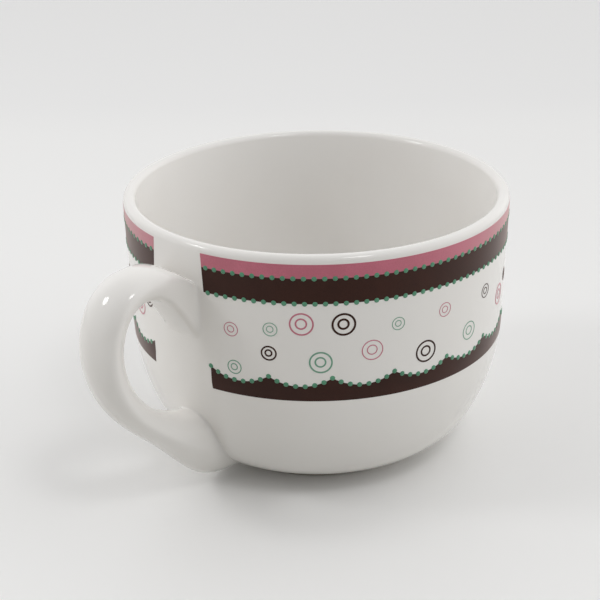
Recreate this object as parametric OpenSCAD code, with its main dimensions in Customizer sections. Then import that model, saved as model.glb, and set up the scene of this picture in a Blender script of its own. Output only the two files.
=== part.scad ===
// Wide coffee mug: a cast cup with a pulled ear handle luted on, and a fired transfer print
// The cup's axis is Z, the table is z = 0 and the handle points along +X

/* [Cup] */
// Outer diameter at the rim
rim_d = 110; // [95:1:130]
// Height from the table to the rim
mug_h = 77; // [72:1:95]
// Thickness of the wall, which also sets the rounded lip
wall_t = 3.5; // [2.4:0.1:4]
// Slope of the upper wall, which narrows towards the base, in degrees
wall_lean = 1.1; // [0.5:0.1:3]
// Radius of the long curve under the wall
belly_r = 60; // [50:1:70]
// Angle that the long curve turns through
belly_turn = 27; // [22:1:32]
// Radius of the tighter curve that runs in to the base
heel_r = 18; // [14:1:20]

/* [Foot] */
// Outer diameter of the foot ring
foot_d = 66; // [56:1:72]
// Width of the foot ring
foot_w = 4; // [3:0.5:6]
// Height of the foot ring under the base
foot_h = 2.8; // [2:0.1:4]
// Rounding of the foot ring's edges
foot_round = 0.8; // [0.4:0.1:1]

/* [Handle] */
// Thickness of the grip, seen from the side
grip_t = 8.2; // [6.5:0.1:9]
// Width of the grip, seen along the handle's reach
grip_w = 12.8; // [10:0.1:14]
// Distance from the rim out to the middle of the grip
grip_out = 26.6; // [24:0.2:34]
// Drop from the rim to the grip's furthest point
grip_drop = 24; // [22:0.5:30]
// Distance from the rim out to the handle's highest point
crown_out = 14.5; // [11:0.5:17]
// Drop from the rim to the middle of the handle at its highest point
crown_drop = 8.5; // [8:0.5:12]
// Drop from the rim to the middle of the upper joint
upper_joint_drop = 17.4; // [17:0.2:20]
// Angle at which the handle climbs away from the upper joint
upper_joint_angle = 60; // [50:1:62]
// Thickness that the handle gains at the upper joint
upper_flare_t = 1; // [0.5:0.5:4]
// Width that the handle gains at the upper joint
upper_flare_w = 0.5; // [0.5:0.5:4]
// Height of the lower joint's middle above the base
lower_joint_h = 11.6; // [10.2:0.2:13]
// Angle at which the handle leaves the lower joint
lower_joint_angle = 21; // [18:1:23]
// Thickness that the handle gains at the lower joint
lower_flare_t = 12.5; // [8:0.5:13.5]
// Width that the handle gains at the lower joint
lower_flare_w = 7; // [3:0.5:9]
// Thickness of the slip that lutes the handle to the cup
slip_t = 0.6; // [0.3:0.1:1]

/* [Stripes] */
// Thickness of one layer of fired ink
ink_t = 0.12; // [0.1:0.01:0.2]
// Bare arc of the wall left for the handle at the print's upper edge, in degrees
print_gap = 18.5; // [18:0.5:30]
// Lean of the print's first end, which widens the bare arc towards the base, in degrees
first_end_lean = 2; // [0:0.5:8]
// Lean of the print's last end, in degrees
last_end_lean = 6.5; // [0:0.5:8]
// Drop from the rim to the pink stripe's upper edge
pink_drop = 2.1; // [2:0.1:6]
// Height of the pink stripe
pink_h = 3.8; // [2.5:0.1:5]
// Height of the upper brown stripe
brown_h = 7; // [5:0.1:9]
// Height of the bare field between the brown stripe and the scallops
field_h = 23.8; // [20:0.2:26]

/* [Beads and scallops] */
// Diameter of a green bead
bead_d = 1.4; // [1:0.1:1.8]
// Distance between the beads of a straight row
bead_pitch = 2.62; // [2.3:0.02:3.4]
// Number of scallops round the cup
scallops = 19; // [15:1:23]
// Steps from bead to bead along one scallop
scallop_steps = 7; // [5:1:9]
// Rise of the scalloped band's points above its hollows
scallop_rise = 2.5; // [1.5:0.1:3.5]
// Height of the scalloped band at its hollows
band_h = 4.3; // [3:0.1:6]

/* [Rings] */
// Diameter of a small ring
small_ring_d = 3.6; // [2.8:0.1:4.2]
// Diameter of a medium ring
medium_ring_d = 5.4; // [4.4:0.1:6]
// Diameter of a large ring
large_ring_d = 6.2; // [5:0.1:6.8]
// Width of a pink or green ring's line
fine_line = 0.36; // [0.3:0.02:0.5]
// Width of a brown ring's line
bold_line = 0.5; // [0.4:0.02:0.6]
// Times that the ring pattern repeats round the cup
ring_repeats = 3; // [2:1:3]

/* [Hidden] */
$fn = 144;

// Colours of the fired clay, the slip and the three inks
clay_white = [0.93, 0.92, 0.89];
slip_white = [0.88, 0.86, 0.82];
ink_pink = [0.72, 0.36, 0.47];
ink_brown = [0.23, 0.14, 0.12];
ink_green = [0.27, 0.56, 0.43];

// Cup profile: the lip's centre, and the centres of the belly and heel arcs, all tangent in turn
rim_r = rim_d / 2;
lip_r = wall_t / 2;
lip_c = [rim_r - lip_r, mug_h - lip_r];
wall_out = [cos(wall_lean), -sin(wall_lean)];
turn_end = wall_lean + belly_turn;
join_out = [cos(turn_end), -sin(turn_end)];
heel_z = foot_h + heel_r;
belly_z = heel_z + (belly_r - heel_r) * sin(turn_end);
wall_shift = lip_c * wall_out + lip_r;
belly_c = [(wall_shift - belly_r - belly_z * wall_out[1]) / wall_out[0], belly_z];
heel_c = belly_c + (belly_r - heel_r) * join_out;
knee = belly_c + belly_r * wall_out;
join = belly_c + belly_r * join_out;
wall_up = [sin(wall_lean), cos(wall_lean)];
wall_top = lip_c + lip_r * wall_out;
mouth_z = lip_c[1] + lip_c[0] * tan(wall_lean);
past_wall = 2 * rim_r;
foot_sink = wall_t / 2;

// Each arc stands this much proud of the piece above it, so that neighbours cross cleanly
arc_lap = 0.001;

// Radius of the cup's outer face at a height
function wall_radius(z) =
    z >= knee[1] ? wall_top[0] - (wall_top[1] - z) * tan(wall_lean)
    : z >= join[1] ? belly_c[0] + sqrt(pow(belly_r, 2) - pow(belly_c[1] - z, 2))
    : heel_c[0] + sqrt(pow(heel_r, 2) - pow(heel_c[1] - z, 2));

// Print heights, from the rim down
print_top = mug_h - pink_drop;
pink_z = print_top - pink_h;
brown_z = pink_z - brown_h;
hollow_z = brown_z - field_h;
band_z = hollow_z - band_h;
print_start = print_gap / 2;

// How far an end of the print is from the handle's middle plane, and the printed arc between the ends
function end_off(z, lean) = wall_radius(print_top) * sin(print_start) + (print_top - z) * tan(lean);
function first_end(z) = asin(end_off(z, first_end_lean) / wall_radius(z));
function last_end(z) = 360 - asin(end_off(z, last_end_lean) / wall_radius(z));
function print_arc(z) = last_end(z) - first_end(z);

// Straight bead rows: the whole number of beads that fits the arc at about the pitch
bead_sides = 20;
bead_count = floor(print_arc(brown_z) * PI / 180 * wall_radius(brown_z) / bead_pitch);

// One scallop: a round cutter across the wall, which passes the two points and the hollow
scallop_start = first_end(hollow_z);
scallop_step = print_arc(hollow_z) / scallops;
half_chord = wall_radius(hollow_z) * sin(scallop_step / 2);
scallop_r = (pow(half_chord, 2) + pow(scallop_rise, 2)) / (2 * scallop_rise);
scallop_half = asin(half_chord / scallop_r);

// Ring pattern, chosen by hand: share along one repeat, share up the bare field, diameter
repeat_arc = (360 - print_gap) / ring_repeats;
inner_share = 0.5;
pink_spots = [[0.075, 0.62, small_ring_d], [0.25, 0.76, large_ring_d], [0.42, 0.41, medium_ring_d],
    [0.62, 0.70, small_ring_d], [0.89, 0.45, large_ring_d]];
green_spots = [[0.175, 0.68, small_ring_d], [0.08, 0.16, small_ring_d], [0.295, 0.30, large_ring_d],
    [0.485, 0.68, small_ring_d], [0.715, 0.30, medium_ring_d]];
brown_spots = [[0.17, 0.39, small_ring_d], [0.35, 0.75, large_ring_d], [0.565, 0.26, medium_ring_d],
    [0.785, 0.68, small_ring_d], [0.95, 0.60, small_ring_d]];

// Handle centre line in the XZ plane: upper arm, bend round the grip, and lower arm
// Each lead is a share of the sizes next to it, so that the curves keep their form at any size
upper_bury = 0.2 * rim_r;
upper_lead = upper_bury + 0.19 * grip_out;
crown_lead = 0.62 * crown_out;
bend_round = 0.57;
grip_tail = 0.6 * grip_out;
lower_bury = 0.9 * heel_r;
lower_lead = lower_bury + 0.77 * grip_out;
upper_z = mug_h - upper_joint_drop;
lower_z = foot_h + lower_joint_h;
crown = [rim_r + crown_out, mug_h - crown_drop];
grip = [rim_r + grip_out, mug_h - grip_drop];
upper_dir = [cos(upper_joint_angle), sin(upper_joint_angle)];
lower_dir = [cos(lower_joint_angle), sin(lower_joint_angle)];
upper_root = [wall_radius(upper_z), upper_z] - upper_bury * upper_dir;
lower_root = [wall_radius(lower_z), lower_z] - lower_bury * lower_dir;
upper_arm = [upper_root, upper_root + upper_lead * upper_dir, crown - [crown_lead, 0], crown];
grip_bend = [crown, crown + [bend_round * (grip[0] - crown[0]), 0],
    grip + [0, bend_round * (crown[1] - grip[1])], grip];
lower_arm = [grip, grip - [0, grip_tail], lower_root + lower_lead * lower_dir, lower_root];
ear_curves = [upper_arm, grip_bend, lower_arm];

// The handle's sweep: steps along each curve, points round a section, and the section's squareness
ear_steps = 16;
ear_sides = 28;
ear_square = 2.2;
lower_flare_start = 0.45;
upper_flare_rush = 4;
lower_flare_rush = 3;

// A point on a cubic curve of four control points, and the unit vector along the curve there
function curve_point(c, t) = pow(1 - t, 3) * c[0] + 3 * t * pow(1 - t, 2) * c[1]
    + 3 * t * t * (1 - t) * c[2] + pow(t, 3) * c[3];
function curve_slope(c, t) = pow(1 - t, 2) * (c[1] - c[0]) + 2 * t * (1 - t) * (c[2] - c[1])
    + t * t * (c[3] - c[2]);
function unit(v) = v / norm(v);

// How far each joint's flare has opened: 0 on the grip, 1 close to the wall, and 0 again at the buried root
function swell(share, rush) = sin(180 * pow(share, rush));
function upper_open(k, t) = k == 0 ? swell(1 - t, upper_flare_rush) : 0;
function lower_open(k, t) = k == 2
    ? swell(max(0, t - lower_flare_start) / (1 - lower_flare_start), lower_flare_rush) : 0;

// A rounded-square section's coordinate, from a cosine or a sine
function soften(c) = sign(c) * pow(abs(c), 2 / ear_square);

// One ring of points round the centre line, at share t of curve k
function ear_ring(k, t) =
    let (p = curve_point(ear_curves[k], t),
        d = unit(curve_slope(ear_curves[k], t)),
        thick = grip_t + upper_flare_t * upper_open(k, t) + lower_flare_t * lower_open(k, t),
        wide = grip_w + upper_flare_w * upper_open(k, t) + lower_flare_w * lower_open(k, t))
    [for (i = [0 : ear_sides - 1])
        let (a = 360 * i / ear_sides,
            u = soften(cos(a)) * thick / 2,
            v = soften(sin(a)) * wide / 2)
        [p[0] - d[1] * u, v, p[1] + d[0] * u]];

// The handle's sweep through a list of [curve, share] stations, closed at both ends
module ear(stations) {
    rings = [for (s = stations) ear_ring(s[0], s[1])];
    last = len(rings) - 1;
    points = [for (r = rings) each r];
    sides = [for (j = [0 : last - 1], i = [0 : ear_sides - 1])
        let (a = j * ear_sides + i,
            b = j * ear_sides + (i + 1) % ear_sides)
        each [[a, b, b + ear_sides], [a, b + ear_sides, a + ear_sides]]];
    start_cap = [for (i = [1 : ear_sides - 2]) [0, i + 1, i]];
    end_start = last * ear_sides;
    end_cap = [for (i = [1 : ear_sides - 2]) [end_start, end_start + i, end_start + i + 1]];
    polyhedron(points, concat(sides, start_cap, end_cap));
}

function ear_stations(first, last) = [for (k = [first : last], j = [0 : ear_steps])
    if (j < ear_steps || k == last) [k, j / ear_steps]];

// The cup's outline in profile, with its outer face moved out by grow and its mouth raised by over
module outline(grow, over = 0) {
    top = wall_top + grow * wall_out + over * wall_up;
    bend = knee + grow * wall_out;
    low = join + grow * join_out;
    base = foot_h - grow;
    polygon([[0, bend[1]], bend, top, [0, mouth_z + over]]);
    intersection() {
        translate(belly_c) circle(belly_r + grow + arc_lap);
        translate([0, low[1]]) square([past_wall, mug_h - low[1] - lip_r]);
    }
    translate(heel_c) circle(heel_r + grow + 2 * arc_lap);
    translate([0, base]) square([heel_c[0], heel_z - base]);
}

// The foot ring in profile, rounded at its two lower edges and sunk into the base
module foot_profile() {
    inner = foot_d / 2 - foot_w;
    seat = foot_h + foot_sink;
    translate([inner, foot_round]) square([foot_w, seat - foot_round]);
    translate([inner + foot_round, 0]) square([foot_w - 2 * foot_round, seat]);
    translate([inner + foot_round, foot_round]) circle(foot_round);
    translate([inner + foot_w - foot_round, foot_round]) circle(foot_round);
}

// Solid inside the outer face of the cup and its foot, moved out by grow
module envelope(grow) {
    rotate_extrude() {
        outline(grow);
        square([foot_d / 2 + grow, foot_h + foot_sink]);
    }
}

// The bare part of the wall beside the handle, as a wedge along the handle's reach
module bare_wedge() {
    first_top = end_off(mug_h, first_end_lean);
    last_top = end_off(mug_h, last_end_lean);
    first_foot = end_off(0, first_end_lean);
    last_foot = end_off(0, last_end_lean);
    rotate([90, 0, 90]) linear_extrude(past_wall)
        polygon([[-last_foot, 0], [first_foot, 0], [first_top, mug_h], [-last_top, mug_h]]);
}

// A layer of ink on the wall between two heights, from one end of the print round to the other
module ink_layer(from, to) {
    difference() {
        rotate_extrude() difference() {
            intersection() {
                outline(ink_t);
                translate([0, from]) square([past_wall, to - from]);
            }
            outline(0);
        }
        bare_wedge();
    }
}

// Places its children on the wall, with their Z along the wall's outward normal
module on_wall(angle, z) {
    rotate([0, 0, angle]) translate([wall_radius(z), 0, z]) rotate([0, 90 + wall_lean, 0]) children();
}

// One bead, printed over the edge of the layer under it
module bead(angle, z) {
    on_wall(angle, z) translate([0, 0, ink_t]) cylinder(d = bead_d, h = ink_t, $fn = bead_sides);
}

module straight_bead_row(z) {
    step = print_arc(z) / bead_count;
    for (i = [0 : bead_count - 1]) bead(first_end(z) + (i + 0.5) * step, z);
}

// Two concentric ring lines at each spot, repeated round the cup, as thick as one ink layer
module ring_lines(d, line) {
    difference() {
        cylinder(d = d, h = wall_t, center = true);
        cylinder(d = d - 2 * line, h = 2 * wall_t, center = true);
    }
}

module ring_print(spots, line) {
    intersection() {
        ink_layer(hollow_z, brown_z);
        for (n = [0 : ring_repeats - 1], s = spots)
            on_wall(print_start + (n + s[0]) * repeat_arc, hollow_z + s[1] * field_h) {
                ring_lines(s[2], line);
                ring_lines(s[2] * inner_share, line);
            }
    }
}

// Cup with its rounded lip, hollow and foot ring
module cup_body() {
    color(clay_white) rotate_extrude() {
        difference() {
            outline(0);
            outline(-wall_t, wall_t);
        }
        translate(lip_c) circle(lip_r + arc_lap);
        foot_profile();
    }
}

// Ear handle, cut to the cup's face with room for the slip
module handle() {
    color(clay_white) difference() {
        ear(ear_stations(0, 2));
        envelope(slip_t);
    }
}

// Slip squeezed between the handle's end and the cup's face
module slip_joint(curve) {
    color(slip_white) difference() {
        intersection() {
            ear(ear_stations(curve, curve));
            envelope(slip_t);
        }
        envelope(0);
    }
}

module upper_slip_joint() {
    slip_joint(0);
}

module lower_slip_joint() {
    slip_joint(2);
}

module pink_stripe() {
    color(ink_pink) ink_layer(pink_z, pink_z + pink_h);
}

module brown_stripe() {
    color(ink_brown) ink_layer(brown_z, brown_z + brown_h);
}

// Lower brown band, its upper edge cut into scallops
module scalloped_band() {
    color(ink_brown) difference() {
        ink_layer(band_z, hollow_z + scallop_rise);
        for (i = [0 : scallops - 1])
            rotate([0, 0, scallop_start + (i + 0.5) * scallop_step]) translate([rim_r, 0, hollow_z + scallop_r])
                rotate([0, 90, 0]) cylinder(r = scallop_r, h = rim_r, center = true);
    }
}

module upper_bead_row() {
    color(ink_green) straight_bead_row(pink_z);
}

module middle_bead_row() {
    color(ink_green) straight_bead_row(brown_z);
}

// Beads that follow the scallops, with one on every point between two scallops
module scallop_bead_row() {
    color(ink_green) for (i = [0 : scallops - 1], j = [0 : scallop_steps - 1]) {
        a = scallop_half * (2 * j / scallop_steps - 1);
        z = hollow_z + scallop_r * (1 - cos(a));
        turn = asin(scallop_r * sin(a) / wall_radius(z));
        bead(scallop_start + (i + 0.5) * scallop_step + turn, z);
    }
}

module pink_rings() {
    color(ink_pink) ring_print(pink_spots, fine_line);
}

module green_rings() {
    color(ink_green) ring_print(green_spots, fine_line);
}

module brown_rings() {
    color(ink_brown) ring_print(brown_spots, bold_line);
}

cup_body();
handle();
upper_slip_joint();
lower_slip_joint();
pink_stripe();
brown_stripe();
scalloped_band();
upper_bead_row();
middle_bead_row();
scallop_bead_row();
pink_rings();
green_rings();
brown_rings();
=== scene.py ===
# %% [markdown]
# # A wide coffee mug
#
# A wide glazed mug with an ear handle and a printed border. The solids come from the part's own source, and this
# lesson dresses them: a cup turned from its section, a handle whose ends melt into the wall, and a thin print on top.
# Blender works in metres, on the same axes as the solids: the cup stands on z = 0 and the handle points along +X.

# %% Load the solids
import math
import bmesh
import bpy
from mathutils import Matrix, Vector


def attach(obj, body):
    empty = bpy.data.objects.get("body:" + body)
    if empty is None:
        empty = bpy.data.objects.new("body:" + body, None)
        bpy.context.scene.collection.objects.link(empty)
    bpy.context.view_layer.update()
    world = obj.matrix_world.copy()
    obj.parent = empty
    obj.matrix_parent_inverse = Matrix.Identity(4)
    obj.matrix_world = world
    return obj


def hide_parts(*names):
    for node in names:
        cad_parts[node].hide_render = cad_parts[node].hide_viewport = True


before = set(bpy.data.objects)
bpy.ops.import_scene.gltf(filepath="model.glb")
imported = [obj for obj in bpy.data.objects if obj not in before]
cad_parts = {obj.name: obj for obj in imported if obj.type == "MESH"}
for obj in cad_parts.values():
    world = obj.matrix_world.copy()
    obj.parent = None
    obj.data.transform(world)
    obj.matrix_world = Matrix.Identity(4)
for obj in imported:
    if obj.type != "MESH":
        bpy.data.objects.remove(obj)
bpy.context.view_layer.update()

# %% [markdown]
# ## The cup's outer face
#
# A mould maker turns the wall along one template, so the whole outer face follows from a few sizes: a straight wall
# that leans out a little towards the lip, a long belly curve, and a tighter heel curve. Each curve starts in the
# direction in which the one above it ends. Sizes are in millimetres here, as on a drawing, and are multiplied by mm
# when a point is set.

# %% Sizes and the profile's centres
mm = 0.001
rim_r, mug_h, wall_t = 55.0, 77.0, 3.5
belly_r, heel_r, foot_h = 60.0, 18.0, 2.8
wall_lean, belly_turn = math.radians(1.1), math.radians(27)
turn_end = wall_lean + belly_turn
lip_r = wall_t / 2
lip_x, lip_z = rim_r - lip_r, mug_h - lip_r
heel_z = foot_h + heel_r
belly_z = heel_z + (belly_r - heel_r) * math.sin(turn_end)
wall_reach = lip_x * math.cos(wall_lean) - lip_z * math.sin(wall_lean) + lip_r
belly_x = (wall_reach - belly_r + belly_z * math.sin(wall_lean)) / math.cos(wall_lean)
heel_x = belly_x + (belly_r - heel_r) * math.cos(turn_end)
print("belly centre", round(belly_x, 2), round(belly_z, 2), "heel centre", round(heel_x, 2), round(heel_z, 2))


# %% A point on the wall
def wall_radius(height):
    """Radius of the cup's outer face at a height, in millimetres"""
    if height >= belly_z - belly_r * math.sin(wall_lean):
        return (wall_reach + height * math.sin(wall_lean)) / math.cos(wall_lean)
    if height >= belly_z - belly_r * math.sin(turn_end):
        return belly_x + math.sqrt(belly_r ** 2 - (belly_z - height) ** 2)
    return heel_x + math.sqrt(heel_r ** 2 - (heel_z - height) ** 2)


def wall_spot(radius, height):
    """The nearest point of the cup's outer profile and the direction out of the wall there, in millimetres"""
    down = math.atan2(height - heel_z, radius - heel_x)
    if down < -turn_end:
        return heel_x + heel_r * math.cos(down), heel_z + heel_r * math.sin(down), down
    down = math.atan2(height - belly_z, radius - belly_x)
    if down < -wall_lean:
        return belly_x + belly_r * math.cos(down), belly_z + belly_r * math.sin(down), down
    off = radius * math.cos(wall_lean) - height * math.sin(wall_lean) - wall_reach
    return radius - off * math.cos(wall_lean), height + off * math.sin(wall_lean), -wall_lean


def on_wall(height, turn, lift=0.0, radius=None):
    """A point over the wall, at a height and a turn about the cup's axis, in metres"""
    x, z, down = wall_spot(radius or wall_radius(height), height)
    x, z = x + lift * math.cos(down), z + lift * math.sin(down)
    return Vector((x * math.cos(turn), x * math.sin(turn), z)) * mm


print("wall at half height:", [round(v * 1000, 2) for v in on_wall(mug_h / 2, 0)])

# %% [markdown]
# ## Starting and finishing a piece
#
# Every piece begins as a primitive. Blender's operators act on all that is selected, so the start deselects everything,
# adds the primitive, puts its place into its mesh and opens edit mode. The finish closes edit mode, shades the piece,
# hangs it under the root empty and hides the solids that it stands for. Most pieces here are round, so one helper turns
# a drawn line right round the cup's axis, and another sets copies of a shape side by side round it.


# %% Helpers that start and finish a piece
def start_piece(name, add, **settings):
    bpy.ops.object.select_all(action="DESELECT")
    add(**settings)
    piece = bpy.context.object
    piece.name = piece.data.name = name
    bpy.ops.object.transform_apply(location=True, rotation=True, scale=True)
    bpy.ops.object.mode_set(mode="EDIT")
    return piece


def start_point(name, spot):
    """A piece that begins as one point, the tip of a pen"""
    piece = start_piece(name, bpy.ops.mesh.primitive_plane_add, size=mm)
    bpy.ops.mesh.merge(type="CENTER")
    bpy.ops.transform.translate(value=spot)
    return piece


def start_empty(name):
    """A piece that begins with nothing in it, ready for more primitives"""
    piece = start_piece(name, bpy.ops.mesh.primitive_plane_add, size=mm)
    bpy.ops.mesh.delete(type="VERT")
    return piece


def apply_modifier(piece, kind, **settings):
    bpy.ops.object.mode_set(mode="OBJECT")
    modifier = piece.modifiers.new(kind.title(), kind)
    for key, value in settings.items():
        setattr(modifier, key, value)
    bpy.ops.object.modifier_apply(modifier=modifier.name)


def finish_piece(piece, slot, *nodes, smooth=40):
    bpy.ops.object.mode_set(mode="OBJECT")
    bpy.ops.object.shade_smooth_by_angle(angle=math.radians(smooth))
    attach(piece, "root")
    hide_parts(*nodes)
    print(piece.name, len(piece.data.polygons), "faces")


# %% Helpers that act on the mesh in edit mode
round_steps = 240
merge_gap = 0.002


def pull(way):
    """Extrudes what is selected"""
    bpy.ops.mesh.extrude_region_move(TRANSFORM_OT_translate={"value": way})


def shrink(share, centre):
    bpy.ops.transform.resize(value=(share, share, share), center_override=centre)


def turn_round():
    """Turns the whole drawing once round the cup's axis"""
    bpy.ops.mesh.select_all(action="SELECT")
    bpy.ops.mesh.spin(steps=round_steps, angle=math.tau, center=(0, 0, 0), axis=(0, 0, 1))


def set_copies(copies, arc):
    """Sets copies of the whole mesh side by side round the cup's axis"""
    bpy.ops.mesh.select_all(action="SELECT")
    bpy.ops.mesh.spin(steps=copies - 1, dupli=True, angle=-arc * (copies - 1), center=(0, 0, 0), axis=(0, 0, 1))


def turn_faces():
    """Turns every face outwards"""
    bpy.ops.mesh.select_all(action="SELECT")
    bpy.ops.mesh.normals_make_consistent(inside=False)


def close_mesh():
    """Merges doubled points, then turns every face outwards"""
    bpy.ops.mesh.select_all(action="SELECT")
    bpy.ops.mesh.remove_doubles(threshold=merge_gap * mm)
    turn_faces()


print("a full turn has", round_steps, "steps of", 360 / round_steps, "degrees")

# %% [markdown]
# ## The cup
#
# A cup like this is cast in a mould that was turned on a wheel. The same can be done here: draw half of the section and
# turn it about the axis. A single point is the pen. Extruding it draws a straight line, and Spin draws a true arc, so
# the lip, the heel and the rounded foot get the same centres and radii as the solids.

# %% The pen
pen = [0.0, foot_h]


def pen_line(x, z):
    pull(((x - pen[0]) * mm, 0, (z - pen[1]) * mm))
    pen[:] = x, z


def pen_run(start, end, parts=4):
    """A straight line in equal parts, so that the faces of the tall wall stay short"""
    for part in range(1, parts + 1):
        pen_line(*(a + part / parts * (b - a) for a, b in zip(start, end)))


def pen_arc(centre_x, centre_z, degrees, steps):
    turn = math.radians(degrees)
    bpy.ops.mesh.spin(steps=steps, angle=turn, center=(centre_x * mm, 0, centre_z * mm), axis=(0, 1, 0))
    x, z = pen[0] - centre_x, pen[1] - centre_z
    pen[:] = (centre_x + x * math.cos(turn) - z * math.sin(turn), centre_z + x * math.sin(turn) + z * math.cos(turn))


def out_of_wall(centre_x, centre_z, radius):
    """The end of the straight wall that lies at a radius from a curve's centre"""
    return centre_x + radius * math.cos(wall_lean), centre_z - radius * math.sin(wall_lean)


print("the pen starts at", pen)

# %% Sizes of the foot ring
foot_r, foot_w, foot_round, fillet = 33.0, 4.0, 0.8, 0.8
foot_in = foot_r - foot_w
fillet_z = heel_z - math.sqrt((heel_r + fillet) ** 2 - (foot_r + fillet - heel_x) ** 2)
fillet_turn = math.degrees(math.atan2(heel_z - fillet_z, foot_r + fillet - heel_x))
print("the foot's outer fillet starts", round(fillet_z, 2), "mm up and turns", round(fillet_turn, 1), "degrees")

# %% Draw the section, from the middle of the underside round the lip to the middle of the inside
base_ring, floor_ring = 14, 16
fillet_steps, foot_steps, heel_steps, belly_steps, lip_steps = 5, 6, 18, 14, 16
cup = start_point("mug_cup", (0, 0, foot_h * mm))
pen_line(base_ring, foot_h)
pen_line(foot_in - fillet, foot_h)
pen_arc(foot_in - fillet, foot_h - fillet, -90, fillet_steps)
pen_line(foot_in, foot_round)
pen_arc(foot_in + foot_round, foot_round, 90, foot_steps)
pen_line(foot_r - foot_round, 0)
pen_arc(foot_r - foot_round, foot_round, 90, foot_steps)
pen_line(foot_r, fillet_z)
pen_arc(foot_r + fillet, fillet_z, -fillet_turn, fillet_steps)
pen_arc(heel_x, heel_z, fillet_turn - math.degrees(turn_end), heel_steps)
pen_arc(belly_x, belly_z, math.degrees(belly_turn), belly_steps)
pen_run(out_of_wall(belly_x, belly_z, belly_r), out_of_wall(lip_x, lip_z, lip_r))
pen_arc(lip_x, lip_z, 180, lip_steps)
pen_run(out_of_wall(lip_x, lip_z, -lip_r), out_of_wall(belly_x, belly_z, belly_r - wall_t))
pen_arc(belly_x, belly_z, -math.degrees(belly_turn), belly_steps)
pen_arc(heel_x, heel_z, math.degrees(turn_end) - 90, heel_steps)
pen_line(floor_ring, foot_h + wall_t)
pen_line(0, foot_h + wall_t)
print("section points:", len(bmesh.from_edit_mesh(cup.data).verts), "last at", [round(v, 3) for v in pen])

# %% Turn it
turn_round()
close_mesh()
finish_piece(cup, "glazed_clay", "cup_body")

# %% [markdown]
# ## The handle
#
# The handle is a soft strap that was cast by itself and stuck on with slip, which is liquid clay. Its centre line is
# three cubic curves in the XZ plane: up from the wall to the crown, round to the grip, and down to the belly. A ring of
# points is extruded from station to station along them. The ring is a rounded shape whose outer side is a little wider
# and crowned to a soft ridge, while its inner side is fuller. At the upper joint it gets almost square.

# %% The centre line
crown_out, crown_drop = 14.5, 8.5
grip_out, grip_drop = 26.6, 24
upper_angle, lower_angle = math.radians(60), math.radians(21)
upper_drop, lower_rise = 17.4, 11.6
upper_bury, lower_bury = 11, 16.2
upper_lead, crown_lead, lower_lead = 16.05, 9, 36.7
bend_share, tail_share = 0.57, 0.6
crown = Vector((rim_r + crown_out, mug_h - crown_drop))
grip = Vector((rim_r + grip_out, mug_h - grip_drop))
upper_dir = Vector((math.cos(upper_angle), math.sin(upper_angle)))
lower_dir = Vector((math.cos(lower_angle), math.sin(lower_angle)))
upper_foot, lower_foot = mug_h - upper_drop, foot_h + lower_rise
upper_root = Vector((wall_radius(upper_foot), upper_foot)) - upper_bury * upper_dir
lower_root = Vector((wall_radius(lower_foot), lower_foot)) - lower_bury * lower_dir
crown_tail = Vector((bend_share * (grip.x - crown.x), 0))
grip_head = Vector((0, bend_share * (crown.y - grip.y)))
grip_tail = Vector((0, tail_share * grip_out))
curves = [
    [upper_root, upper_root + upper_lead * upper_dir, crown - Vector((crown_lead, 0)), crown],
    [crown, crown + crown_tail, grip + grip_head, grip],
    [grip, grip - grip_tail, lower_root + lower_lead * lower_dir, lower_root],
]
print("crown", [round(v, 1) for v in crown], "grip", [round(v, 1) for v in grip])

# %% The section at any place along it
columns = 24
grip_t, grip_w, taper = 8.2, 14.0, 0.12
crowned, full, boxy, boxy_until = 2 / 1.75, 2 / 2.8, 2 / 6, 0.5
upper_thicker, upper_wider, upper_rush = 1.0, 0.5, 4
lower_thicker, lower_slimmer, lower_shift, lower_rush, lower_start = 13.5, 0.8, 0.5, 3, 0.45
smooth_gain = 6 / (4 + 2 * math.cos(math.tau / columns))  # makes up for what Subdivision Surface takes off


def swell(share, rush):
    """0 at both ends of a curve and 1 between, late where rush is high"""
    return math.sin(math.pi * share ** rush)


def soften(value, power):
    return math.copysign(abs(value) ** power, value)


def strap_point(part, share, column):
    """A point of the strap in millimetres: part counts the three curves and share runs along one of them"""
    a, b, c, d = curves[part]
    back = 1 - share
    spot = back ** 3 * a + 3 * share * back ** 2 * b + 3 * share ** 2 * back * c + share ** 3 * d
    along = (back ** 2 * (b - a) + 2 * share * back * (c - b) + share ** 2 * (d - c)).normalized()
    turn = math.tau * column / columns
    thick, wide, shift = grip_t, grip_w, 0.0
    power = crowned if math.cos(turn) > 0 else full
    if part == 0:
        thick += upper_thicker * swell(back, upper_rush)
        wide += upper_wider * swell(back, upper_rush)
        power = boxy + (power - boxy) * max(0.0, share - boxy_until) / (1 - boxy_until)
    if part == 2:
        opened = swell(max(0.0, share - lower_start) / (1 - lower_start), lower_rush)
        thick += lower_thicker * opened
        wide -= lower_slimmer * opened
        shift = lower_shift * opened
    u = shift + soften(math.cos(turn), power) * thick / 2 * smooth_gain
    v = soften(math.sin(turn), power) * wide / 2 * smooth_gain * (1 + taper * math.cos(turn))
    return Vector((spot.x - along.y * u, v, spot.y + along.x * u))


print("outermost point of the grip:", [round(v, 1) for v in strap_point(1, 1, 0)])

# %% [markdown]
# ## The handle's joints
#
# Near the cup, each line of points runs on until it meets the wall, so the last ring lies exactly on the wall. Two more
# rings, one a little outside on the wall and one under it, make the soft fillet that slip and glaze leave once
# Subdivision Surface has rounded the corner. A few smaller rings inside the clay close the end.


# %% Where each line of points meets the wall
def over_wall(point):
    """How far a point is outside the cup's outer face, in millimetres"""
    radius = math.hypot(point.x, point.y)
    x, z, down = wall_spot(radius, point.z)
    return (radius - x) * math.cos(down) + (point.z - z) * math.sin(down)


def meet_wall(part, column, clear, buried):
    """The share of the curve at which this line of points reaches the wall, found by halving"""
    for _ in range(40):
        middle = (clear + buried) / 2
        if over_wall(strap_point(part, middle, column)) > 0:
            clear = middle
        else:
            buried = middle
    return clear


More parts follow.
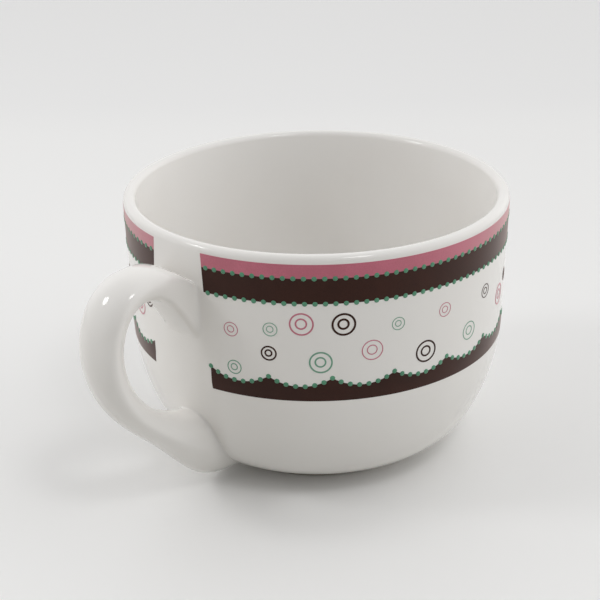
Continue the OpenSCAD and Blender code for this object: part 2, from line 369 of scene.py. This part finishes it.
def settle(point, lift):
    """The nearest point over the wall, in millimetres"""
    radius, turn = math.hypot(point.x, point.y), math.atan2(point.y, point.x)
    return on_wall(point.z, turn, lift, radius) / mm


print("the crown's middle is", round(over_wall(Vector((crown.x, 0, crown.y))), 1), "mm off the wall")

# %% The rows of both joints
approach, closing = (0.3, 0.58, 0.82), (0.75, 0.45, 0.2)
skirt_under, skirt_sink, end_sink = 1.25, 0.9, 1.4


def joint_rows(part, clear, buried, skirt):
    """The rows of one joint, from the last clear ring to the closed end inside the clay"""
    ends = [meet_wall(part, c, clear, buried) for c in range(columns)]
    rows = [[strap_point(part, clear + share * (end - clear), c) for c, end in enumerate(ends)] for share in approach]
    seat = [settle(strap_point(part, end, c), 0) for c, end in enumerate(ends)]
    middle = sum(seat, Vector()) / columns
    away = [(p - middle).normalized() for p in seat]
    rows.append(seat)
    rows.append([settle(p + skirt * a, 0.0) for p, a in zip(seat, away)])
    rows.append([settle(p + skirt_under * skirt * a, -skirt_sink) for p, a in zip(seat, away)])
    for share in closing:
        rows.append([settle(middle + share * (p - middle), -end_sink) for p in seat])
    print("joint", part, "middle", [round(v, 1) for v in middle], "shares", round(min(ends), 3), round(max(ends), 3))
    return rows


upper_clear, lower_clear = 0.62, 0.66
upper_rows = joint_rows(0, upper_clear, 0.0, skirt=1.9)
lower_rows = joint_rows(2, lower_clear, 1.0, skirt=1.3)

# %% The rows of the free strap, and all rows in order
rise_rings, bend_rings, fall_rings = 4, 9, 12
stations = [(0, upper_clear + step / rise_rings * (1 - upper_clear)) for step in range(rise_rings)]
stations += [(1, step / bend_rings) for step in range(bend_rings)]
stations += [(2, lower_clear * step / fall_rings) for step in range(fall_rings + 1)]
strap_rows = [[strap_point(part, share, c) for c in range(columns)] for part, share in stations]
all_rows = list(reversed(upper_rows)) + strap_rows + lower_rows
print("rows:", len(all_rows))


# %% Extrude the rings
def number_points(piece, order):
    """Gives every selected point a number, which an extrusion carries on to its copies"""
    mesh = bmesh.from_edit_mesh(piece.data)
    column = mesh.verts.layers.int.new("column")
    for number, point in enumerate(sorted((p for p in mesh.verts if p.select), key=order)):
        point[column] = number


def place_row(piece, row):
    """Puts every selected point where the row has its number"""
    mesh = bmesh.from_edit_mesh(piece.data)
    column = mesh.verts.layers.int["column"]
    for point in mesh.verts:
        if point.select:
            point.co = row[point[column]] * mm
    bmesh.update_edit_mesh(piece.data)


handle = start_piece("mug_handle", bpy.ops.mesh.primitive_circle_add, vertices=columns, radius=2 * mm)
number_points(handle, lambda point: math.atan2(point.co.y, point.co.x) % math.tau)
place_row(handle, all_rows[0])
bpy.ops.mesh.edge_face_add()
bpy.ops.mesh.select_mode(type="EDGE")
bpy.ops.mesh.select_all(action="DESELECT")
bpy.ops.mesh.select_non_manifold()
bpy.ops.mesh.select_mode(type="VERT")
for row in all_rows[1:]:
    bpy.ops.mesh.extrude_edges_move()
    place_row(handle, row)
bpy.ops.mesh.edge_face_add()
close_mesh()
apply_modifier(handle, "SUBSURF", levels=2, render_levels=2)
handle.data.attributes.remove(handle.data.attributes["column"])
finish_piece(handle, "glazed_clay", "handle", "upper_slip_joint", "lower_slip_joint", smooth=80)

# %% [markdown]
# ## The printed stripes
#
# The border is a transfer: a film of ceramic ink that is slid on and fired. It starts and stops beside the handle, and
# its two ends lean, so the bare gap widens downwards. A short upright line of points is turned right round the wall,
# and Bisect cuts the gap out along two leaning planes. Solidify then gives the strip the thickness of the ink, partly
# sunk in the glaze so that nothing hovers.

# %% Where the print ends
print_drop, pink_h, brown_h = 2.1, 3.8, 7.0
print_top = mug_h - print_drop
pink_foot = print_top - pink_h
brown_foot = pink_foot - brown_h
first_lean, last_lean = math.radians(2), math.radians(6.5)
print_start = math.radians(18.5) / 2


def end_off(height, lean):
    """How far an end of the print is from the handle's middle plane at a height, in millimetres"""
    return wall_radius(print_top) * math.sin(print_start) + (print_top - height) * math.tan(lean)


def first_end(height):
    """The turn at which the print starts, at a height"""
    return math.asin(end_off(height, first_lean) / wall_radius(height))


def print_arc(height):
    """The turn that the print covers, at a height"""
    return math.tau - first_end(height) - math.asin(end_off(height, last_lean) / wall_radius(height))


print("bare gap, top and foot:", [round(360 - math.degrees(print_arc(h)), 1) for h in (print_top, brown_foot)])

# %% Cut the ends and give the film its thickness
ink_lift, ink_t = 0.06, 0.11
near_handle = 20


def face_outwards(piece):
    """Turns an open strip so that its faces look away from the cup's axis"""
    close_mesh()
    mesh = bmesh.from_edit_mesh(piece.data)
    mesh.faces.ensure_lookup_table()
    face = mesh.faces[0]
    if face.normal.xy.dot(face.calc_center_median().xy) < 0:
        bpy.ops.mesh.flip_normals()


def trim_ends(piece):
    """Cuts the strip off at both sides of the handle"""
    for side, lean in ((1, first_lean), (-1, last_lean)):
        bpy.ops.mesh.select_mode(type="FACE")
        bpy.ops.mesh.select_all(action="DESELECT")
        mesh = bmesh.from_edit_mesh(piece.data)
        for face in mesh.faces:
            spot = face.calc_center_median()
            face.select_set(spot.x > 0 and 0 < side * spot.y < near_handle * mm)
        bmesh.update_edit_mesh(piece.data)
        bpy.ops.mesh.bisect(
            plane_co=(0, side * end_off(print_top, lean) * mm, print_top * mm),
            plane_no=(0, side * math.cos(lean), math.sin(lean)), clear_inner=True)
        bpy.ops.mesh.select_mode(type="VERT")


def ink_film(piece):
    apply_modifier(piece, "SOLIDIFY", thickness=ink_t * mm, offset=-1)


print("the ink stands", ink_lift, "mm over the wall and reaches", round(ink_t - ink_lift, 2), "mm into it")

# %% Two stripes
stripe_rows = 4


def print_stripe(name, foot, top, slot, node):
    heights = [foot + row / stripe_rows * (top - foot) for row in range(stripe_rows + 1)]
    stripe = start_point(name, on_wall(foot, 0, ink_lift))
    for lower, upper in zip(heights, heights[1:]):
        pull(on_wall(upper, 0, ink_lift) - on_wall(lower, 0, ink_lift))
    turn_round()
    face_outwards(stripe)
    trim_ends(stripe)
    ink_film(stripe)
    finish_piece(stripe, slot, node)
    return stripe


pink_stripe = print_stripe("print_pink_stripe", pink_foot, print_top, "pink_ink", "pink_stripe")
brown_stripe = print_stripe("print_brown_stripe", brown_foot, pink_foot, "brown_ink", "brown_stripe")

# %% [markdown]
# ## The scalloped band
#
# Under the bare field runs a band whose upper edge hangs in shallow loops, like icing. One loop is drawn: an upright
# line of points is extruded sideways, and its height follows a circle that passes both peaks and the hollow. Spin with
# its duplicate setting sets the other loops beside it, and merging their shared edges makes one band.

# %% The size of a loop
loops, loop_columns, band_rows = 19, 16, 4
field_h, loop_rise, band_h = 23.8, 2.5, 4.3
hollow_z = brown_foot - field_h
band_foot = hollow_z - band_h
loop_start, loop_arc = first_end(hollow_z), print_arc(hollow_z) / loops
half_chord = wall_radius(hollow_z) * math.sin(loop_arc / 2)
loop_r = (half_chord ** 2 + loop_rise ** 2) / (2 * loop_rise)


def loop_column(turn):
    """Points up the band, at a turn from the loop's first peak, in millimetres"""
    side = min(half_chord, abs(wall_radius(hollow_z) * math.sin(turn - loop_arc / 2)))
    top = hollow_z + loop_r - math.sqrt(loop_r ** 2 - side ** 2)
    return [on_wall(band_foot + row / band_rows * (top - band_foot), loop_start + turn, ink_lift) / mm
            for row in range(band_rows + 1)]


print("a loop is", round(2 * half_chord, 2), "mm wide, on a circle of", round(loop_r, 2), "mm")

# %% One loop, and its copies
first_column = loop_column(0)
band = start_point("print_scalloped_band", first_column[0] * mm)
for lower, upper in zip(first_column, first_column[1:]):
    pull((upper - lower) * mm)
bpy.ops.mesh.select_all(action="SELECT")
number_points(band, lambda point: point.co.z)
for step in range(1, loop_columns + 1):
    bpy.ops.mesh.extrude_edges_move()
    place_row(band, loop_column(loop_arc * step / loop_columns))
set_copies(loops, loop_arc)
face_outwards(band)
print("band points:", len(bmesh.from_edit_mesh(band.data).verts), "of", (loops * loop_columns + 1) * (band_rows + 1))
trim_ends(band)
ink_film(band)
band.data.attributes.remove(band.data.attributes["column"])
finish_piece(band, "brown_ink", "scalloped_band")

# %% [markdown]
# ## The beads
#
# Green dots are printed over the edges of the stripes, thick enough to feel with a finger. One bead is a disc on the
# wall, pulled out twice and narrowed each time into a low dome. Because hundreds of them go round the cup, a bead keeps
# to 26 faces.

# %% A bead and a row of beads
bead_r, bead_sides, bead_pitch = 0.7, 12, 2.62
dome = ((0.12, 0.92), (0.05, 0.62))


def add_disc(turn, height, lift, radius, sides, fill):
    """Adds a disc or a ring on the wall, facing outwards, to the mesh in edit mode"""
    bpy.ops.mesh.select_all(action="DESELECT")
    bpy.ops.mesh.primitive_circle_add(
        vertices=sides, radius=radius * mm, fill_type=fill, location=on_wall(height, turn, lift),
        rotation=(0, math.pi / 2 + wall_lean, turn))


def add_bead(turn, height):
    add_disc(turn, height, 0, bead_r, bead_sides, "NGON")
    centre = on_wall(height, turn)
    outward = on_wall(height, turn, 1) - centre
    for rise, share in dome:
        centre = centre + rise * outward
        pull(rise * outward)
        shrink(share, centre)


def bead_row(name, beads, copies, arc, node):
    row = start_empty(name)
    for turn, height in beads:
        add_bead(turn, height)
    set_copies(copies, arc)
    turn_faces()
    finish_piece(row, "green_ink", node, smooth=70)
    return row


beads_round = math.floor(print_arc(brown_foot) * wall_radius(brown_foot) / bead_pitch)
print("beads in a straight row:", beads_round)


# %% The straight rows
def straight_row(name, height, node):
    step = print_arc(height) / beads_round
    return bead_row(name, [(first_end(height) + step / 2, height)], beads_round, step, node)


upper_beads = straight_row("print_upper_beads", pink_foot, "upper_bead_row")
middle_beads = straight_row("print_middle_beads", brown_foot, "middle_bead_row")

# %% Beads along one loop, and its copies
loop_steps = 7
loop_half = math.asin(half_chord / loop_r)
loop_beads = []
for step in range(loop_steps):
    swing = loop_half * (2 * step / loop_steps - 1)
    height = hollow_z + loop_r * (1 - math.cos(swing))
    turn = math.asin(loop_r * math.sin(swing) / wall_radius(height))
    loop_beads.append((loop_start + loop_arc / 2 + turn, height))
scallop_beads = bead_row("print_scallop_beads", loop_beads, loops, loop_arc, "scallop_bead_row")

# %% [markdown]
# ## The ring pairs
#
# On the bare field float pairs of rings, most of the small ones in a finer line and most of the large ones in a bolder
# one. Each line starts as a circle on the wall, is extruded and drawn in to the line's width, and then Shrinkwrap lays
# it on the round wall before Solidify makes it a film of ink. The scatter is drawn once and repeated three times round
# the cup.

# %% Helpers for the rings
repeats, ring_sides = 3, 36
repeat_arc = (math.tau - 2 * print_start) / repeats
off_centre = 0.015  # how far the inner ring of a pair lies off the middle, as a share of the pair's size


def add_ring(turn, height, size, line):
    add_disc(turn, height, ink_lift, size / 2, ring_sides, "NOTHING")
    bpy.ops.mesh.extrude_edges_move()
    shrink(1 - 2 * line / size, on_wall(height, turn, ink_lift))


def ring_print(name, spots, slot, node):
    """Rings of one colour: a spot has its shares along the repeat and up the field, its size and its line's width"""
    rings = start_empty(name)
    for along, up, size, line in spots:
        turn, height = print_start + along * repeat_arc, hollow_z + up * field_h
        add_ring(turn, height, size, line)
        add_ring(turn - off_centre * size / rim_r, height + off_centre * size, size / 2, line)
    set_copies(repeats, repeat_arc)
    turn_faces()
    apply_modifier(rings, "SHRINKWRAP", target=cup, wrap_mode="ABOVE_SURFACE", offset=ink_lift * mm)
    ink_film(rings)
    finish_piece(rings, slot, node)
    return rings


print("one repeat of the scatter covers", round(math.degrees(repeat_arc), 1), "degrees")

# %% Rings of three colours
fine, thin, bold = 0.20, 0.26, 0.42
pink_rings = ring_print("print_pink_rings", [
    (0.075, 0.62, 4.1, fine), (0.25, 0.76, 6.4, bold), (0.42, 0.41, 5.8, thin), (0.62, 0.70, 4.1, fine),
    (0.89, 0.45, 6.2, bold)], "pink_ink", "pink_rings")
green_rings = ring_print("print_green_rings", [
    (0.175, 0.68, 3.9, fine), (0.08, 0.16, 4.1, thin), (0.295, 0.30, 6.2, bold), (0.485, 0.68, 3.7, fine),
    (0.715, 0.30, 5.4, thin)], "green_ink", "green_rings")
brown_rings = ring_print("print_brown_rings", [
    (0.17, 0.39, 4.3, bold), (0.35, 0.75, 6.4, 1.3 * bold), (0.565, 0.26, 6.4, 1.1 * bold), (0.785, 0.68, 4.1, thin),
    (0.95, 0.60, 3.9, bold)], "brown_ink", "brown_rings")

# %% [markdown]
# ## Finishes
#
# A material is a graph of nodes. Writing its maths as Python expressions keeps it readable: a small class wraps a
# socket, and every operator on it adds one Math node. A second class holds the material and adds any other node.


# %% Shader maths
class Value:
    """A socket that takes part in Python expressions"""

    def __init__(self, finish, socket):
        self.finish, self.socket = finish, socket

    def math(self, operation, first, second):
        return self.finish.add("ShaderNodeMath", {"operation": operation}, {0: first, 1: second})

    def __add__(self, other):
        return self.math("ADD", self, other)

    def __radd__(self, other):
        return self.math("ADD", other, self)

    def __sub__(self, other):
        return self.math("SUBTRACT", self, other)

    def __rsub__(self, other):
        return self.math("SUBTRACT", other, self)

    def __mul__(self, other):
        return self.math("MULTIPLY", self, other)

    def __rmul__(self, other):
        return self.math("MULTIPLY", other, self)


class Finish:
    """The nodes of one material, or of the world"""

    def __init__(self, owner, shader="Principled BSDF", coordinates="Object"):
        owner.use_nodes = True
        self.owner, self.tree = owner, owner.node_tree
        self.shader = self.tree.nodes[shader]
        self.place = self.add("ShaderNodeTexCoord", out=coordinates)

    def add(self, kind, settings=None, sockets=None, out=0):
        """Adds any node, joins its inputs and gives one of its outputs"""
        node = self.tree.nodes.new(kind)
        for key, value in (settings or {}).items():
            setattr(node, key, value)
        for key, value in (sockets or {}).items():
            self.join(node.inputs[key], value)
        return Value(self, node.outputs[out])

    def join(self, entry, value):
        if isinstance(value, Value):
            self.tree.links.new(value.socket, entry)
        else:
            entry.default_value = value

    def set(self, **sockets):
        """Joins a value to a socket of the shader, or sets a number or colour on it"""
        for key, value in sockets.items():
            self.join(self.shader.inputs[key.replace("_", " ")], value)

    def noise(self, scale, detail):
        return self.add("ShaderNodeTexNoise", sockets={"Vector": self.place, "Scale": scale, "Detail": detail})

    def along(self, direction):
        """How far the place is along a direction"""
        return self.add("ShaderNodeVectorMath", {"operation": "DOT_PRODUCT"}, {0: self.place, 1: direction},
                        out="Value")

    def between(self, value, low, high):
        """0 below low, 1 above high and a soft step between"""
        return self.add("ShaderNodeMapRange", {"interpolation_type": "SMOOTHSTEP"},
                        {"Value": value, "From Min": low, "From Max": high})

    def blend(self, share, first, second):
        """A colour between two colours"""
        return self.add("ShaderNodeMix", {"data_type": "RGBA"}, {0: share, 6: first, 7: second}, out=2)

    def bump(self, height, strength, distance):
        return self.add("ShaderNodeBump", sockets={"Strength": strength, "Distance": distance, "Height": height})

    def coat(self, *pieces):
        for piece in pieces:
            piece.data.materials.clear()
            piece.data.materials.append(self.owner)
        print(self.owner.name, "on", [piece.name for piece in pieces])


# %% [markdown]
# ## The glaze
#
# Clear gloss glaze over warm white clay: almost mirror-smooth, but it flowed while molten, so it is faintly wavy and
# its tone drifts a little from place to place. The foot ring is wiped bare before firing so that it does not stick to
# the kiln shelf. There the clay shows, matt and sandy, up to a soft edge where the glaze begins. Its brown is painted
# darker than bare clay, and the bare band reaches higher up the foot, as painted shade for the dark line under the
# heel.

# %% Glazed clay
drift_scale, wave_scale, sand_scale = 26, 48, 1500
# The bare band runs higher than a wiped foot ring, so that its dark clay also paints the shade under the heel.
bare_and_shade_top, glaze_foot = 2.1 * mm, 2.6 * mm
glaze = Finish(bpy.data.materials.new("mug_glaze"))
tone = glaze.between(glaze.noise(drift_scale, 2), 0.3, 0.7)
white = glaze.blend(tone, (0.880, 0.862, 0.835, 1), (0.895, 0.882, 0.860, 1))
sand = glaze.noise(sand_scale, 2)
# Both browns of the bare foot are painted darker than clay, as painted shade for the dark line under the heel.
clay_and_painted_shade = glaze.blend(sand, (0.20, 0.165, 0.115, 1), (0.32, 0.27, 0.20, 1))
bare = 1 - glaze.between(glaze.along((0, 0, 1)), bare_and_shade_top, glaze_foot)
glaze.set(Base_Color=glaze.blend(bare, white, clay_and_painted_shade),
          Roughness=0.07 + 0.05 * tone + 0.6 * bare,
          Normal=glaze.bump(glaze.noise(wave_scale, 1) + 0.05 * bare * sand, strength=0.05, distance=2 * mm))
glaze.coat(cup, handle)

# %% [markdown]
# ## The inks
#
# Ceramic ink is powdered enamel. It sinks into the glaze when fired and stays clearly less glossy than the bare
# surface. Screen printing leaves a fine grain and soft drifts in the tone, so each ink mixes two close colours. Seen
# along the wall, the powdery film catches a pale warm bloom, which the shader's sheen gives. The thin lines of the pink
# and green rings hold less ink than the stripes and the beads, so they come out a little paler.

# %% Three inks, two of them also in a paler line
ink_drift, ink_grain = 90, 2600
bloom_tint = (1, 0.85, 0.82, 1)


def ink(name, dark, light, pieces, gloss, bloom, spread):
    film = Finish(bpy.data.materials.new(name))
    drift = film.noise(ink_drift, 3)
    grain = film.noise(ink_grain, 1)
    film.set(Base_Color=film.blend(film.between(0.65 * drift + 0.35 * grain, 0.36, 0.64), dark, light),
             Roughness=0.38 + 0.12 * drift,
             Normal=film.bump(grain, strength=0.05, distance=0.1 * mm),
             Specular_IOR_Level=gloss, Sheen_Weight=bloom, Sheen_Roughness=spread, Sheen_Tint=bloom_tint)
    film.coat(*pieces)


ink("pink_enamel", (0.46, 0.062, 0.124, 1), (0.53, 0.084, 0.158, 1), [pink_stripe], gloss=1.0, bloom=1.0, spread=0.5)
ink("pink_line", (0.52, 0.140, 0.205, 1), (0.57, 0.170, 0.240, 1), [pink_rings], gloss=0.6, bloom=0.45, spread=0.5)
ink("brown_enamel", (0.029, 0.0070, 0.003, 1), (0.040, 0.0105, 0.005, 1), [brown_stripe, band, brown_rings],
    gloss=0.18, bloom=0.8, spread=0.35)
ink("green_enamel", (0.075, 0.26, 0.150, 1), (0.105, 0.33, 0.200, 1), [upper_beads, middle_beads, scallop_beads],
    gloss=0.4, bloom=0.45, spread=0.35)
ink("green_line", (0.155, 0.34, 0.235, 1), (0.185, 0.40, 0.285, 1), [green_rings], gloss=0.4, bloom=0.2, spread=0.5)

# %% [markdown]
# ## The floor
#
# The mug stands on pale paper that runs far back. The paper has two tones. One is what the eye sees, directly or
# mirrored in the gloss. The other is greyer and decides how much light the paper throws up at the mug, so a pale
# background does not wash out the shade under the belly.

# %% The paper
camera_turn = 42
paper_size = 40
fade_start, fade_end = 0.31, 0.39  # metres behind the mug's axis between which the paper gets a little darker
sweep = start_piece("studio_sweep", bpy.ops.mesh.primitive_plane_add, size=paper_size)
bpy.ops.object.mode_set(mode="OBJECT")
paper = Finish(bpy.data.materials.new("sweep_paper"))
away_turn = math.radians(camera_turn)
behind = paper.along((-math.cos(away_turn), -math.sin(away_turn), 0)) + 0.03 * paper.noise(4, 2)
shown = paper.blend(paper.between(behind, fade_start, fade_end), (0.91, 0.91, 0.905, 1), (0.885, 0.885, 0.885, 1))
looked_at = (paper.add("ShaderNodeLightPath", out="Is Camera Ray")
             + paper.add("ShaderNodeLightPath", out="Is Glossy Ray")
             + paper.add("ShaderNodeLightPath", out="Is Transmission Ray"))
paper.set(Base_Color=paper.blend(looked_at, (0.68, 0.67, 0.64, 1), shown), Roughness=0.42)
paper.coat(sweep)

# %% [markdown]
# ## The light
#
# The paper lies inside a white tent. Most of the light comes through three broad panels of the tent, low at the left,
# at the right and behind, while the open front, where the camera looks in, is darker. The right panel is the strongest,
# so the wall falls off softly from its bright right side to a greyer tone beside the handle. Two small lamps add the
# sharp glints that gloss glaze shows.

# %% The tent
scene = bpy.context.scene
scene.view_settings.view_transform = "Standard"
scene.world = bpy.data.worlds.new("light_tent")
tent = Finish(scene.world, "Background", "Generated")
panel_edge, panel_middle = 0.3, 0.95
panels = [(0.77, -48, 15), (1.07, 132, 15), (0.58, 222, 15)]  # strength, and turn and rise in degrees
open_front = (0.25, 36, 8)  # the same, for the light that is missing there


def toward(turn, rise):
    """The direction at a turn about the cup's axis and a rise over the floor, both in degrees"""
    turn, rise = math.radians(turn), math.radians(rise)
    return Vector((math.cos(turn) * math.cos(rise), math.sin(turn) * math.cos(rise), math.sin(rise)))


def patch(strength, turn, rise):
    """A soft patch of the tent: its strength in the middle, fading to nothing round it"""
    return strength * tent.between(tent.along(toward(turn, rise)), panel_edge, panel_middle)


glow = 0.27
for panel in panels:
    glow = glow + patch(*panel)
tent.set(Strength=glow - patch(*open_front), Color=(1, 0.995, 0.99, 1))
print("bright panels of the tent:", len(panels))

# %% Two lamps
lamp_far = 0.9


def lamp(name, turn, rise, size, watts):
    """A small round lamp that shines on the mug from a direction given in degrees"""
    light = bpy.data.lights.new(name, "AREA")
    light.shape, light.size, light.energy = "DISK", size, watts
    spot = bpy.data.objects.new(name, light)
    scene.collection.objects.link(spot)
    away = toward(turn, rise)
    spot.location = lamp_far * away
    spot.rotation_euler = away.to_track_quat("Z", "Y").to_euler()
    print(name, "at", [round(v, 2) for v in spot.location])


lamp("left_lamp", -40, 44, size=0.18, watts=0.9)
lamp("top_lamp", 74, 58, size=0.20, watts=0.78)

# %% [markdown]
# ## The camera
#
# The middle of the lip does not lie in the middle of the picture, but above it and a little to the right. The camera is
# first set on a line through the middle of the lip, and then turned until that point falls where the picture has it.
# It also leans sideways by 0.6 degrees.

# %% The camera
camera_rise, roll = 19.3, math.radians(0.6)
distance, lip_height = 374.3 * mm, 75.5 * mm
picture, focal, sensor = 600, 1300, 36
lip_across, lip_down = 316 - picture // 2, 189.3 - picture // 2  # pixels from the picture's middle
back = toward(camera_turn, camera_rise)
right = Vector((-math.sin(away_turn), math.cos(away_turn), 0))
up = back.cross(right)
right, up = math.cos(roll) * right - math.sin(roll) * up, math.sin(roll) * right + math.cos(roll) * up
ahead = (-back - lip_across / focal * right + lip_down / focal * up).normalized()
right = (right - right.dot(ahead) * ahead).normalized()
up = right.cross(ahead)
camera = bpy.data.objects.new("photo_camera", bpy.data.cameras.new("photo_camera"))
scene.collection.objects.link(camera)
camera.matrix_world = Matrix.Translation(Vector((0, 0, lip_height)) + distance * back) @ Matrix(
    (right, up, -ahead)).transposed().to_4x4()
camera.data.lens = sensor * focal / picture
camera.data.clip_start = 0.01
scene.camera = camera
print("camera at", [round(v, 4) for v in camera.matrix_world.translation])
